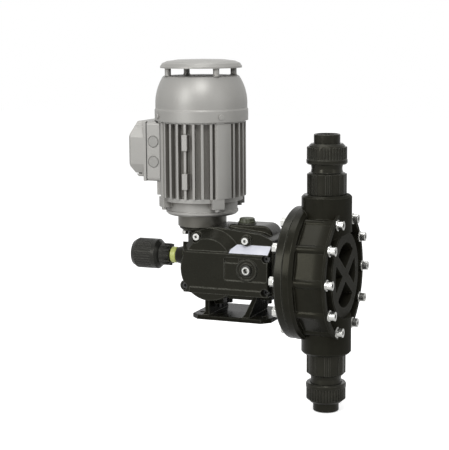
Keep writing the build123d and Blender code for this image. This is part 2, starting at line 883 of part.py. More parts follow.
def return_spring():
    """Compression spring between the pusher's collar and the end wall of the chamber."""
    start = collar_start + collar_thickness + gap + spring_wire
    end = chamber_front_x - gap - spring_wire
    mean = pusher_radius + 1.0 + spring_wire
    pitch = (end - start) / spring_turns
    helix = Helix(pitch, end - start, mean)
    section = Plane(origin=(mean, 0, 0), x_dir=(1, 0, 0), z_dir=(0, 1, 0)) * Circle(spring_wire)
    wire = sweep(section, helix, is_frenet=True)
    return along_x(Pos(0, 0, start) * wire)


# Stroke adjustment
def knob_bush():
    """Flanged bush in the casing boss, which guides the spindle and holds the knob's scale."""
    low = ring_start - 6
    body = rod(knob_bush_radius - fit, low, casing_left - 8)
    body += rod(knob_bush_flange, boss_start - 1, boss_start)
    body -= rod(spindle_thread_radius + 0.08, low - 1, casing_left)
    return along_x(body, z=knob_z)


def scale_ring():
    """Coloured ring between the knob and the casing boss."""
    return along_x(turned([
        (knob_bush_radius, ring_start), (ring_radius - 1, ring_start), (ring_radius, ring_start + 1.2),
        (ring_radius, ring_end - 1.2), (ring_radius - 1, ring_end), (knob_bush_radius, ring_end),
    ]), z=knob_z)


def stroke_knob():
    """Moulded knob: domed fluted grip, plain band and a ribbed nose that tapers to the scale."""
    nose = knob_nose + 1
    body = turned([
        (0, knob_rear), (knob_radius - 9, knob_rear), (knob_radius - 3.5, knob_rear + 2.5),
        (knob_radius, knob_rear + 9), (knob_radius, knob_body_end - 4), (knob_radius - 3.5, knob_body_end),
        (knob_radius - 6, knob_body_end + 2), (knob_nose_radius, nose - 1), (0, nose - 1),
    ])
    for x, y in circle_places(knob_radius + 0.9, knob_flutes):
        body -= Pos(x, y, 0) * rod(1.5, knob_rear + 8, knob_body_end - 10)
    rib = block((knob_nose_radius - 2, knob_radius - 5), (-1.3, 1.3), (knob_body_end + 1, nose - 1))
    for i in range(12):
        body += Rot(0, 0, 30 * i) * (rib & rod(knob_radius - 6, knob_body_end, nose))
    body -= rod(knob_bush_radius + gap, ring_start - 7, nose + 1)
    body -= rod(spindle_thread_radius + 0.08, knob_rear + 6, nose)
    return along_x(body, z=knob_z)


def adjusting_spindle():
    """Threaded spindle that the knob drives along the axis; its tip stops the pusher's frame."""
    tip = wheel_x - envelope() - stroke - yoke_bar - stroke - gap
    shoulder = bush_seat_end() - stroke - 1
    body = rod(spindle_thread_radius, spindle_tail, shoulder)
    body += rod(spindle_tip_radius, shoulder - 1, tip)
    return along_x(body, z=knob_z)


# Motor
def drive_end_shield():
    """Cast shield with its neck on the casing column, four lugs and the bearing seat."""
    low = column_top
    body = turned([
        (shaft_clear(), low), (shield_neck_radius, low), (shield_neck_radius, shield_neck_top),
        (shield_radius - 3, shield_neck_top), (shield_radius, shield_neck_top + 3), (shield_radius, shield_neck_top + 6),
        (shield_radius - 1.2, shield_neck_top + 7),
        (shield_radius - 1.2, shield_top - 6), (fin_radius - 5, shield_top - 6), (fin_radius - 5, shield_top),
        (frame_radius - 5, shield_top), (frame_radius - 8, shield_top - 12), (shaft_clear(), shield_top - 12),
    ])
    lug = block((shield_radius - 6, tie_bolt_circle + 5), (-lug_width / 2, lug_width / 2), (shield_top - lug_height, shield_top))
    for i in range(4):
        body += Rot(0, 0, 45 + 90 * i) * lug
    body -= rod(drive_end_bearing[1], shield_top - 12 - drive_end_bearing[2], shield_top)
    for x, y in circle_places(tie_bolt_circle, 4, 45):
        body -= Pos(x, y, 0) * rod(tie_bolt_radius + fit, shield_top - lug_height - 1, shield_top + 1)
    for x, y in circle_places(motor_screw_circle, 4, 45):
        body -= Pos(x, y, 0) * rod(motor_screw_radius + fit, low - 1, low + 12)
    return on_motor(body)


def shaft_clear():
    """Hole in the drive-end shield round the motor shaft."""
    return rotor_shaft_radius + 1.5


def motor_screws():
    screw = Rot(180, 0, 0) * socket_screw(motor_screw_radius, column_top - column_flange_low + 10, 4.3, 5)
    return [on_motor(Pos(x, y, column_flange_low) * screw) for x, y in circle_places(motor_screw_circle, 4, 45)]


def motor_frame():
    """Finned stator housing with a plain pad, foot bosses and the seat of the terminal box."""
    body = tube(stator_radius + fit, frame_radius, shield_top, frame_top)
    fin = block((frame_radius - 1, fin_radius), (-fin_thickness / 2, fin_thickness / 2), (shield_top, frame_top))
    for i in range(fin_count):
        angle = fin_start + 360 * i / fin_count
        if abs(angle - 180) > box_fin_angle:
            body += Rot(0, 0, angle) * fin
    pad = rod(fin_radius, shield_top, frame_top) - rod(frame_radius - 1, shield_top - 1, frame_top + 1)
    wedge = block((0, fin_radius + 2), (-name_pad_half, name_pad_half), (shield_top, frame_top))
    body += (pad & wedge).rotate(Axis.Z, name_pad_angle)
    seat = box_half_width - box_step
    step = block((-frame_radius + 0.5, -frame_radius / 2), (-seat, seat), (shield_top + 2, box_low - gap))
    body += step - rod(frame_radius - 1, shield_top - 1, frame_top + 1)
    for low in (box_low - 8, box_high - 40):
        boss = block((-4, 4), (-fin_radius - 2.5, -frame_radius + 2), (low, low + 23))
        body += Rot(0, 0, fin_start) * boss
        body += Rot(0, 0, 180 + fin_start) * boss
    for x, y in circle_places(tie_bolt_circle, 4, 45):
        body += Pos(x, y, 0) * rod(tie_bolt_radius + 3, shield_top, frame_top)
        body -= Pos(x, y, 0) * rod(tie_bolt_radius + fit, shield_top - 1, frame_top + 1)
    return on_motor(body) - wire_window()


def stator_pack():
    """Laminated stator with its slots left out, and the two winding heads on its ends."""
    core = tube(stator_bore, stator_radius, stator_low, stator_high)
    head = turned([
        (stator_bore + 3, 0), (stator_radius - 3, 0), (stator_radius - 6, winding_height), (stator_bore + 6, winding_height),
    ])
    body = core + Pos(0, 0, stator_high) * head + Pos(0, 0, stator_low) * Rot(180, 0, 0) * head
    return on_motor(body)


def rotor_core():
    """Rotor body with end rings."""
    outer = stator_bore - air_gap
    body = tube(rotor_shaft_radius + 3, outer, stator_low, stator_high)
    body += tube(rotor_shaft_radius + 12, outer - 3, stator_low - 7, stator_high + 7)
    return on_motor(body)


def rotor_shaft():
    """Stepped motor shaft from the worm's socket up to the fan."""
    low = shield_top - 12 - drive_end_bearing[2]
    high = frame_top + 6 + fan_end_bearing[2]
    body = turned([
        (0, rotor_shaft_low + 1), (rotor_shaft_radius, rotor_shaft_low + 1), (rotor_shaft_radius, low),
        (drive_end_bearing[0], low), (drive_end_bearing[0], shield_top - 12), (rotor_shaft_radius + 3, shield_top - 12),
        (rotor_shaft_radius + 3, frame_top + 6), (fan_end_bearing[0], frame_top + 6),
        (fan_end_bearing[0], high - 1), (rotor_shaft_radius - 1, high - 1), (rotor_shaft_radius - 1, rotor_shaft_high),
        (0, rotor_shaft_high),
    ])
    return on_motor(body)


def fan_end_shield():
    """Upper shield with the bearing seat; the tie bolts end in its rim."""
    low = frame_top
    body = turned([
        (fan_end_bearing[1] + 5, low - 4), (stator_radius, low - 4), (stator_radius, low), (fin_radius - 1, low),
        (fin_radius - 1, low + 4), (fan_end_bearing[1] + 8, low + 6 + fan_end_bearing[2]),
        (rotor_shaft_radius + 2, low + 6 + fan_end_bearing[2] + 3), (rotor_shaft_radius + 2, low + 6 + fan_end_bearing[2]),
        (fan_end_bearing[1], low + 6 + fan_end_bearing[2]), (fan_end_bearing[1], low + 6), (fan_end_bearing[1] + 2, low + 3),
    ])
    lug = block((fan_end_bearing[1] + 20, cover_band_radius - cover_wall - gap), (-6, 6), (low, cover_screw_z + 4.5))
    for i in range(4):
        body += Rot(0, 0, cover_screw_angle + 90 * i) * lug
        body -= Rot(0, 0, cover_screw_angle + 90 * i) * Pos(0, 0, cover_screw_z) * Rot(0, 90, 0) * rod(2.5 + fit, 58, 70)
    for x, y in circle_places(tie_bolt_circle, 4, 45):
        body -= Pos(x, y, 0) * rod(tie_bolt_radius + fit, low - 1, low + 4)
    return on_motor(body)


def tie_bolts():
    """Four long bolts that clamp the two shields on the finned housing."""
    low = shield_top - lug_height
    bolt = rod(tie_bolt_radius, low, frame_top + 3) + rod(4.2, low - 4, low)
    return [on_motor(Pos(x, y, 0) * bolt) for x, y in circle_places(tie_bolt_circle, 4, 45)]


def cooling_fan():
    """Radial fan on the upper shaft end."""
    hub = tube(rotor_shaft_radius - 1 + fit, 14, frame_top + 26, fan_high)
    disc = tube(13, fan_radius - 3, fan_high - 20, fan_high - 17.5)
    body = hub + disc
    blade = block((12, fan_radius - 2), (-1, 1), (fan_high - 18, fan_high))
    for i in range(fan_blades):
        body += Rot(0, 0, 360 * i / fan_blades) * blade
    return on_motor(body)


def fan_cover():
    """Pressed cover: band round the motor, domed shoulder and an open top."""
    body = dome(0) - dome(cover_wall)
    bar_low = dome_top - cover_wall
    for i in range(4):
        spoke = block((4, dome_opening + 1), (-2, 2), (bar_low - 1, dome_top))
        body += Rot(0, 0, 45 + 90 * i) * spoke
    for radius in (12, 22, 32, 42):
        body += tube(radius - 1.2, radius + 1.2, bar_low - 1, dome_top - 0.2)
    for i in range(4):
        body -= Rot(0, 0, cover_screw_angle + 90 * i) * Pos(0, 0, cover_screw_z) * Rot(0, 90, 0) * rod(2.5 + fit, frame_radius, 80)
    return on_motor(body)


def dome(inset):
    """The cover's outline turned solid, or its hollow when set in by the wall."""
    band, wall, top = cover_band_radius - inset, dome_radius - inset, dome_top - inset
    start = (wall, 0, dome_shoulder)
    end = (dome_lip - inset / 2, 0, top - 1)
    lines = [
        Polyline((0, 0, cover_band_low), (band, 0, cover_band_low), (band, 0, cover_band_high - inset), (wall, 0, cover_band_high + 2), start),
        TangentArc(start, end, tangent=(0, 0, 1)),
        Polyline(end, (dome_lip - inset / 2 - 2, 0, top), (0, 0, top), (0, 0, cover_band_low)),
    ]
    return revolve(make_face(lines), Axis.Z)


def cover_bolts():
    """Four short screws that hold the fan cover's band."""
    screw = rod(2.5, 59, cover_band_radius) + rod(4, cover_band_radius, cover_band_radius + 2.2)
    made = []
    for i in range(4):
        made.append(on_motor(Rot(0, 0, cover_screw_angle + 90 * i) * Pos(0, 0, cover_screw_z) * Rot(0, 90, 0) * screw))
    return made


def rain_cap():
    """Domed cap over the fan's inlet, carried by four posts."""
    cap_low = dome_top + cap_gap
    cap_rim = cap_low + cap_edge
    cap_top = cap_low + cap_crown
    body = turned([
        (0, cap_low + 1.5), (cap_radius - 2, cap_low + 1.5), (cap_radius - 1, cap_low), (cap_radius, cap_low),
        (cap_radius, cap_rim), (cap_radius - 3, cap_rim + 4.5), (cap_radius - 10, cap_rim + 7.5),
        (cap_radius - 25, cap_top - 1), (0, cap_top),
    ])
    height = cap_gap + 2
    post = turned([
        (0, 0), (post_radius + post_foot, 0), (post_radius, post_foot), (post_radius, height - 2 * post_foot),
        (post_radius + post_foot, height - post_foot), (post_radius + post_foot, height), (0, height),
    ])
    for x, y in circle_places(post_circle, 4, post_angle):
        body += Pos(x, y, dome_top) * post
    return on_motor(body)


# Terminal box
def terminal_base():
    """Open base that saddles the motor frame, with two blanked cable entries in its near side."""
    y_low, y_high = box_y()
    body = block((box_base_outer, box_base_inner), (y_low, y_high), (box_low, box_high))
    body = fillet(body.edges().filter_by(Axis.X), 5)
    body -= on_motor(rod(frame_radius + fit, box_low - 1, box_high + 1))
    body -= on_motor(rod(cover_band_radius, frame_top - gap, box_high + 1))
    hollow = block(
        (box_base_outer - 1, box_base_inner - box_wall), (y_low + box_wall, y_high - box_wall),
        (box_low + box_wall, box_high - box_wall),
    )
    body -= hollow - on_motor(rod(frame_radius + box_wall, box_low - 1, box_high + 1))
    for z in knockout_z:
        body -= Pos(knockout_x, y_low, z) * Rot(90, 0, 0) * rod(knockout_radius, -box_wall - 1, 1)
    return body - wire_window()


def wire_window():
    """Opening for the leads, through the motor frame and the base of the terminal box."""
    return block((box_base_outer, motor_x - stator_radius + 2), (wheel_plane - 10, wheel_plane + 10), wire_window_z)


def box_y():
    """Near and far side of the terminal box."""
    return (wheel_plane - box_half_width, wheel_plane + box_half_width)


def terminal_gasket():
    y_low, y_high = box_y()
    outer = block((box_base_outer - box_gasket, box_base_outer), (y_low + 0.6, y_high - 0.6), (box_low + 0.6, box_high - 0.6))
    outer = fillet(outer.edges().filter_by(Axis.X), 5)
    return outer - block(
        (box_base_outer - 3, box_base_outer + 1), (y_low + 4, y_high - 4), (box_low + 4, box_high - 4),
    )


def terminal_cover():
    """Lid with chamfered upper and lower edges and a hollow inside."""
    y_low, y_high = box_y()
    start = box_base_outer - box_gasket
    outline = [
        (start, box_low), (start, box_high), (start - 17, box_high - 1.5), (box_cover_outer, box_high - 24),
        (box_cover_outer, box_low + 25), (start - 18, box_low + 6), (start - 5, box_low + 6), (start - 5, box_low),
    ]
    body = prism(outline, y_low, y_high)
    inner = [
        (start + 1, box_low + 9), (start + 1, box_high - 4), (start - 14, box_high - 5), (box_cover_outer + 4, box_high - 26),
        (box_cover_outer + 4, box_low + 27), (start - 15, box_low + 9),
    ]
    body -= prism(inner, y_low + 4, y_high - 4)
    for y, z in box_screw_places():
        body -= Pos(0, y, z) * Rot(0, 90, 0) * rod(4, box_cover_outer - 1, start - 6)
        body -= Pos(0, y, z) * Rot(0, 90, 0) * rod(2 + fit, start - 9, start + 1)
    return body


def box_screw_places():
    y_low, y_high = box_y()
    return [(y, z) for y in (y_low + 8, y_high - 8) for z in (box_low + 12, box_high - 9)]


def terminal_screws():
    start = box_base_outer - box_gasket
    screw = rod(2, start - 6, start - 0.5) + rod(3.6, start - 9, start - 6)
    return [Pos(0, y, z) * Rot(0, 90, 0) * screw for y, z in box_screw_places()]


def terminal_block():
    """Six-stud terminal board on the floor of the box."""
    floor = motor_x - frame_radius - box_wall
    body = block((floor - 6, floor + 1), (wheel_plane - 20, wheel_plane + 20), (box_high - 38, box_high - 12))
    body -= on_motor(rod(frame_radius + box_wall + fit, box_low, box_high))
    for y in (-12, 0, 12):
        for z in (box_high - 32, box_high - 18):
            body += Pos(0, wheel_plane + y, z) * Rot(0, 90, 0) * rod(2.5, floor - 16, floor - 5)
    return body


def knockouts():
    """Thin discs that close the two cable entries."""
    y_low = box_y()[0]
    disc = rod(knockout_radius - fit, -box_wall, -1) + rod(knockout_radius - 1.5, -1.5, 0.5)
    return [Pos(knockout_x, y_low, z) * Rot(90, 0, 0) * disc for z in knockout_z]


# Pump head
def back_plate():
    """Plate behind the diaphragm: bolt flange, hub on the casing and the dished face."""
    body = along_x(turned([
        (pusher_radius + 3, hub_end), (hub_radius, hub_end), (hub_radius + 6, plate_back), (plate_radius - 2, plate_back),
        (plate_radius, plate_back + 2), (plate_radius, plate_front - 0.8), (plate_radius - 0.8, plate_front), (chamber_rim, plate_front),
        (support_disc_radius + 6, plate_front - chamber_depth), (pusher_radius + 3, plate_front - chamber_depth),
    ]))
    for y, z in bolt_places():
        body -= Pos(0, y, z) * Rot(0, 90, 0) * rod(bolt_radius + fit, plate_back - 1, plate_front + 1)
    for y, z in hub_screw_places():
        body -= Pos(0, y, z) * Rot(0, 90, 0) * rod(2.5 + fit, hub_end - 1, plate_front)
        body -= Pos(0, y, z) * Rot(0, 90, 0) * rod(4.5, plate_front - chamber_depth - 6, plate_front)
    return body


def hub_screws():
    """Screws from the dished face of the back plate into the casing hub."""
    seat = plate_front - chamber_depth - 6
    screw = socket_screw(2.5, seat - hub_end + 10, 4.2, 5)
    return [Pos(seat, y, z) * Rot(0, 90, 0) * screw for y, z in hub_screw_places()]


def diaphragm():
    """Round diaphragm clamped between the plate and the head."""
    return along_x(rod(diaphragm_radius, plate_front, plate_front + diaphragm_thickness))


def support_disc():
    """Disc on the pusher's end that backs the middle of the diaphragm."""
    high = plate_front - gap
    body = turned([
        (pusher_radius - 4, high - support_disc_thickness), (support_disc_radius, high - support_disc_thickness),
        (support_disc_radius, high - 1), (support_disc_radius - 2, high), (0, high), (0, pusher_end), (pusher_radius - 4, pusher_end),
    ])
    return along_x(body)


def head_outline(radius, start, end):
    """Prism with a corner at each head bolt and a flat at the top and the bottom."""
    corners = [(y * radius / bolt_circle, axis_height + (z - axis_height) * radius / bolt_circle) for y, z in bolt_places()]
    corners.sort(key=lambda p: math.atan2(p[1] - axis_height, p[0]))
    face = make_face(Polyline(*[(start, y, z) for y, z in corners], close=True))
    return extrude(face, end - start, dir=(1, 0, 0))


def pump_head():
    """Plastic head: band, flat-sided body with bolt ribs, rim, crossed windows and two valve bosses."""
    body = along_x(turned([
        (0, plate_front), (band_radius - 1, plate_front), (band_radius, plate_front + 1), (band_radius, band_end - 5),
        (band_radius - 3, band_end), (0, band_end),
    ]))
    body += head_outline(head_corner_radius, band_end - 1, head_front - rim_thickness + 1)
    body += along_x(turned([
        (0, head_front - rim_thickness), (rim_radius, head_front - rim_thickness), (rim_radius, head_front - 1),
        (rim_radius - 1, head_front), (0, head_front),
    ]))
    body += along_x(turned([
        (0, head_front - 1), (groove_inner, head_front - 1), (groove_inner - 1, inner_ring_front), (0, inner_ring_front),
    ]))
    groove = along_x(tube(groove_inner, groove_outer, head_front - groove_depth, head_front + 3))
    for y, z in bolt_places():
        post = Pos(0, y, z) * Rot(0, 90, 0) * rod(bolt_rib_radius, band_end - 1, head_front)
        groove -= post
        body += post
    boss = turned([
        (0, 0), (boss_radius, 0), (boss_radius, boss_height - boss_chamfer), (boss_radius - boss_chamfer, boss_height), (0, boss_height),
    ])
    bosses = on_valves(boss) + mirrored_down(boss)
    bosses -= along_x(rod(groove_inner, 0, 300))
    bosses -= block((0, plate_front), (-60, 60), (axis_height - 200, axis_height + 200))
    body = body - groove + bosses
    return body - head_windows() - head_passages()


def head_windows():
    """The four pockets that the crossed bars leave open in the front."""
    pocket = along_x(rod(window_radius, window_floor, inner_ring_front + 1))
    for side in (-1, 1):
        bar = block((window_floor - 1, inner_ring_front + 2), (-window_radius - 5, window_radius + 5), (-cross_bar / 2, cross_bar / 2))
        pocket -= Pos(0, 0, axis_height) * Rot(side * cross_angle, 0, 0) * bar
    return pocket


def head_passages():
    """Diaphragm recess, dished chamber, flow channels, valve bores and bolt holes."""
    cuts = [
        along_x(rod(diaphragm_radius + fit, plate_front - 1, plate_front + diaphragm_thickness)),
        along_x(turned([
            (0, plate_front), (chamber_rim, plate_front), (chamber_rim, plate_front + diaphragm_thickness),
            (30, plate_front + diaphragm_thickness + chamber_depth), (0, plate_front + diaphragm_thickness + chamber_depth),
        ])),
    ]
    bore = rod(flow_radius, window_radius + 1, boss_height + 1) + rod(spigot_radius + fit, boss_height - spigot_length, boss_height + 1)
    channel = Pos(0, 0, window_radius + 1 + flow_radius) * Rot(0, -90, 0) * rod(flow_radius - 1, 0, valve_x - plate_front - 4)
    cuts.append(on_valves(bore + channel))
    cuts.append(on_valves(Rot(0, 0, 180) * Rot(180, 0, 0) * Rot(0, 0, 180) * (bore + channel)))
    for y, z in bolt_places():
        cuts.append(Pos(0, y, z) * Rot(0, 90, 0) * rod(bolt_radius + fit, plate_front - 1, head_front + 1))
    return cuts


def head_bolts():
    """Ten long cap screws through the head."""
    seat = head_front + washer_thickness
    screw = socket_screw(bolt_radius, seat - plate_back + washer_thickness + nut_height + 1, bolt_head_radius, bolt_head_height)
    return [Pos(seat, y, z) * Rot(0, 90, 0) * screw for y, z in bolt_places()]


def head_washers():
    """Washers under the ten screw heads and under the ten nuts."""
    made = []
    for y, z in bolt_places():
        for start in (head_front, plate_back - washer_thickness):
            ring = tube(bolt_radius + fit, washer_radius, start, start + washer_thickness)
            made.append(Pos(0, y, z) * Rot(0, 90, 0) * ring)
    return made


def head_nuts():
    """Hexagon nuts behind the back plate."""
    high = plate_back - washer_thickness
    nut = extrude(RegularPolygon(nut_radius * 1.15, 6), nut_height) - rod(bolt_radius + fit, -1, nut_height + 1)
    return [Pos(high - nut_height, y, z) * Rot(0, 90, 0) * nut for y, z in bolt_places()]


# Valves: one shape for both ends, with the seat always on the side that the flow comes from
def valve_body(seat_outside):
    """Screwed valve body with grip ribs, thread and the ball's cage."""
    body = turned([
        (0, boss_height - spigot_length + 1), (spigot_radius, boss_height - spigot_length + 1), (spigot_radius, boss_height + gap),
        (valve_radius, boss_height + gap), (valve_radius, valve_height - 1.5), (valve_radius - 1.5, valve_height),
        (neck_radius, valve_height + 1), (neck_radius - 1, (valve_height + union_start) / 2), (neck_radius, union_start),
        (neck_radius, thread_end), (0, thread_end),
    ])
    rib = block((valve_radius - 2, valve_radius + 1.2), (-1.6, 1.6), (boss_height + 1, valve_height - 1.5))
    for i in range(valve_ribs):
        for offset in (-4.5, 4.5):
            body += Rot(0, 0, 360 * (i + 0.5) / valve_ribs + offset * 1.2) * rib
    if seat_outside:
        low, high = thread_end - seat_height, thread_end + 1
        body -= rod(seat_radius + fit, low, high)
        body -= rod(cage_radius, low - cage_height(), low + 1)
        body -= rod(flow_radius - 1, 0, low)
    else:
        start = boss_height - spigot_length + 1
        body -= rod(seat_radius + fit, start - 1, start + seat_height)
        body -= rod(cage_radius, start + seat_height - 1, start + seat_height + cage_height())
        body -= rod(flow_radius - 1, start, thread_end + 1)
    return body


def cage_height():
    """Length of the bore that guides the ball, from the seat to the stop."""
    return ball_radius + seat_lift() + ball_lift + 4.0


def seat_lift():
    """Height of the ball's centre above the seat ring when it rests."""
    return math.sqrt((ball_radius + fit) ** 2 - seat_bore ** 2)


def suction_valve_body():
    return mirrored_down(valve_body(True))


def discharge_valve_body():
    return on_valves(valve_body(False))


def seat_ring():
    return tube(seat_bore, seat_radius, 0, seat_height - 0.5)


def suction_seat():
    return on_valves(Pos(0, 0, -thread_end + 0.5 - 0.5) * seat_ring())


def discharge_seat():
    return on_valves(Pos(0, 0, boss_height - spigot_length + 1.5) * seat_ring())


def ball(seat_top):
    return on_valves(Pos(0, 0, seat_top + seat_lift()) * Sphere(ball_radius))


def suction_ball():
    return ball(-thread_end + seat_height - 0.5)


def discharge_ball():
    return ball(boss_height - spigot_length + 1 + seat_height)


def union_nut():
    """Ribbed union nut with a flange towards the valve and an inner shoulder at its far end."""
    end = union_end
    body = turned([
        (neck_radius + gap, union_start), (union_flange_radius - 1.5, union_start), (union_flange_radius, union_start + 2),
        (union_flange_radius, union_start + union_flange - 1.5), (union_radius, union_start + union_flange),
        (union_radius - 0.5, end - 8), (union_radius - 2, end - 3), (union_radius - 5, end), (pipe_radius + gap, end),
        (pipe_radius + gap, end - 5), (neck_radius + gap, end - 5),
    ])
    rib = block((union_radius - 2, union_radius + 0.9), (-0.9, 0.9), (union_start + union_flange - 0.5, end - 5))
    for i in range(union_ribs):
        body += Rot(0, 0, 360 * i / union_ribs) * rib
    return body


def suction_nut():
    return mirrored_down(union_nut())


def discharge_nut():
    return on_valves(union_nut())


def end_connector():
    """Pipe end held by the union nut: collar inside the nut and a socket for the pipe."""
    collar_high = union_end - 5 - gap
    body = turned([
        (flow_radius, thread_end + 0.5), (neck_radius - 0.5, thread_end + 0.5), (neck_radius - 0.5, collar_high),
        (pipe_radius, collar_high), (pipe_radius, pipe_end - 1), (pipe_radius - 1, pipe_end),
        (socket_radius, pipe_end), (socket_radius, pipe_end - socket_depth), (flow_radius, pipe_end - socket_depth),
    ])
    return body


def suction_connector():
    return mirrored_down(end_connector())


def discharge_connector():
    return on_valves(end_connector())


def valve_gaskets():
    """Flat rings under the end connectors, and rings in the bottom of the head's valve bores."""
    bottom = boss_height - spigot_length
    outer = tube(seat_radius + 1.5, neck_radius - 1, thread_end, thread_end + 0.5)
    inner = tube(flow_radius + 2, spigot_radius - 1, bottom, bottom + 1)
    return [place(ring) for place in (on_valves, mirrored_down) for ring in (outer, inner)]


def gearbox_bearings():
    """The two bearings of the eccentric shaft and the two of the worm shaft."""
    return [
        along_y(sealed_bearing(shaft_bearing, front_bearing_low()), wheel_x, wheel_z),
        along_y(sealed_bearing(shaft_bearing, rear_bearing_low()), wheel_x, wheel_z),
        on_motor(sealed_bearing(worm_low_bearing, worm_floor())),
        on_motor(sealed_bearing(worm_high_bearing, worm_high_low())),
    ]


def motor_bearings():
    return [
        on_motor(sealed_bearing(drive_end_bearing, shield_top - 12 - drive_end_bearing[2])),
        on_motor(sealed_bearing(fan_end_bearing, frame_top + 6)),
    ]


makers = [
    foot_bracket, foot_screws, main_casing, cover_gasket, side_cover, cover_screws, drain_plug, label_plate,
    filler_plug, worm_shaft, worm_wheel, eccentric_shaft, roller_ring, gearbox_bearings, pusher,
    pusher_bush, pusher_seal, return_spring, knob_bush, scale_ring, stroke_knob, adjusting_spindle,
    drive_end_shield, motor_screws, motor_frame, stator_pack, rotor_core, rotor_shaft, fan_end_shield,
    motor_bearings, tie_bolts, cooling_fan, fan_cover, cover_bolts, rain_cap, terminal_base, terminal_gasket,
    terminal_cover, terminal_screws, terminal_block, knockouts, back_plate, hub_screws, diaphragm, support_disc,
    pump_head, head_bolts, head_washers, head_nuts, suction_valve_body, discharge_valve_body, suction_seat,
    discharge_seat, suction_ball, discharge_ball, suction_nut, discharge_nut, suction_connector,
    discharge_connector, valve_gaskets,
]

os.makedirs("parts", exist_ok=True)
for make in makers:
    made = make()
    if isinstance(made, list):
        made = Compound(children=made)
    export_step(made, f"parts/{make.__name__}.step")
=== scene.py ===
import bpy
import math
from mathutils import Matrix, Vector


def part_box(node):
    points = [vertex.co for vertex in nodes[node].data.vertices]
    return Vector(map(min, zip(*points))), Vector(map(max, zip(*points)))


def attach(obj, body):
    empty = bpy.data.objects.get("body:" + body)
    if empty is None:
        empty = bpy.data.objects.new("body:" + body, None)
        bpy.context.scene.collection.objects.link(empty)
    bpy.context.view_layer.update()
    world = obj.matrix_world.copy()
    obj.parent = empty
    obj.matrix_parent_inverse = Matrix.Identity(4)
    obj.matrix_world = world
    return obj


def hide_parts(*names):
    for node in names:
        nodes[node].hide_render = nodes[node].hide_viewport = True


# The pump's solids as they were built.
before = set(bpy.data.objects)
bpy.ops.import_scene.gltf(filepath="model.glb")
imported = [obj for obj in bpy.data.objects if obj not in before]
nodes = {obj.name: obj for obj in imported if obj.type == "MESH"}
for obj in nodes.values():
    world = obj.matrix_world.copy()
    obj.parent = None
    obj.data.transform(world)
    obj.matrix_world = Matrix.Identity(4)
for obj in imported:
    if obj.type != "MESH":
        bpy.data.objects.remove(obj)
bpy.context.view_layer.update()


# Camera: stands at the photo's angle, to the right of the side cover and a little above it. Its
# place, lens and tilt were fitted to the photo's own edges.
def turn_to(thing, point):
    """Turn a camera or a lamp so that it looks at a point."""
    thing.rotation_mode = "QUATERNION"
    thing.rotation_quaternion = (Vector(point) - thing.location).to_track_quat("-Z", "Y")


stand_point = (0.7284, -1.8168, 0.4279)
aim_point = (-0.0253, 0.0, 0.1350)
tilt = math.radians(-0.39)
bpy.ops.object.select_all(action="DESELECT")
bpy.ops.object.camera_add(location=stand_point)
camera = bpy.context.object
camera.name = "photo_camera"
camera.data.sensor_width = 36.0
camera.data.lens = 106.7
camera.data.clip_start = 0.05
turn_to(camera, aim_point)
camera.rotation_mode = "XYZ"
camera.rotation_euler.rotate_axis("Z", tilt)
bpy.context.scene.camera = camera


# Studio: a pale paper floor under the lowest pipe end, white air all round, soft lamps at the
# front left, high in front, on the right and overhead. None of it is part of the pump.
class Value:
    """One socket of a node tree, so that shader maths reads as Python expressions."""

    def __init__(self, tree, socket):
        self.tree = tree
        self.socket = socket

    def maths(self, operation, other, reflected=False):
        """A Math node on this value and another value or a number."""
        node = self.tree.nodes.new("ShaderNodeMath")
        node.operation = operation
        sides = (other, self) if reflected else (self, other)
        for slot, side in zip(node.inputs, sides):
            supply(self.tree, slot, side)
        return Value(self.tree, node.outputs[0])

    def __add__(self, other):
        return self.maths("ADD", other)

    def __radd__(self, other):
        return self.maths("ADD", other, True)

    def __sub__(self, other):
        return self.maths("SUBTRACT", other)

    def __rsub__(self, other):
        return self.maths("SUBTRACT", other, True)

    def __mul__(self, other):
        return self.maths("MULTIPLY", other)

    def __rmul__(self, other):
        return self.maths("MULTIPLY", other, True)

    def __gt__(self, other):
        return self.maths("GREATER_THAN", other)


def supply(tree, slot, value):
    """Link a value to a socket, or set the plain number or colour on it."""
    if isinstance(value, Value):
        tree.links.new(value.socket, slot)
    else:
        slot.default_value = value


class NodeTree:
    """The nodes of a material or of the world, with the one method that adds any node."""

    def __init__(self, owner):
        owner.use_nodes = True
        self.tree = owner.node_tree

    def add(self, kind, settings=None, sockets=None, output=0):
        """Any node: its settings first, a ramp's stops among them, then its sockets."""
        node = self.tree.nodes.new(kind)
        for key, value in (settings or {}).items():
            if key == "stops":
                first, last = node.color_ramp.elements[0], node.color_ramp.elements[-1]
                first.position, last.position = value
            else:
                setattr(node, key, value)
        for key, value in (sockets or {}).items():
            supply(self.tree, node.inputs[key], value)
        return Value(self.tree, node.outputs[output])


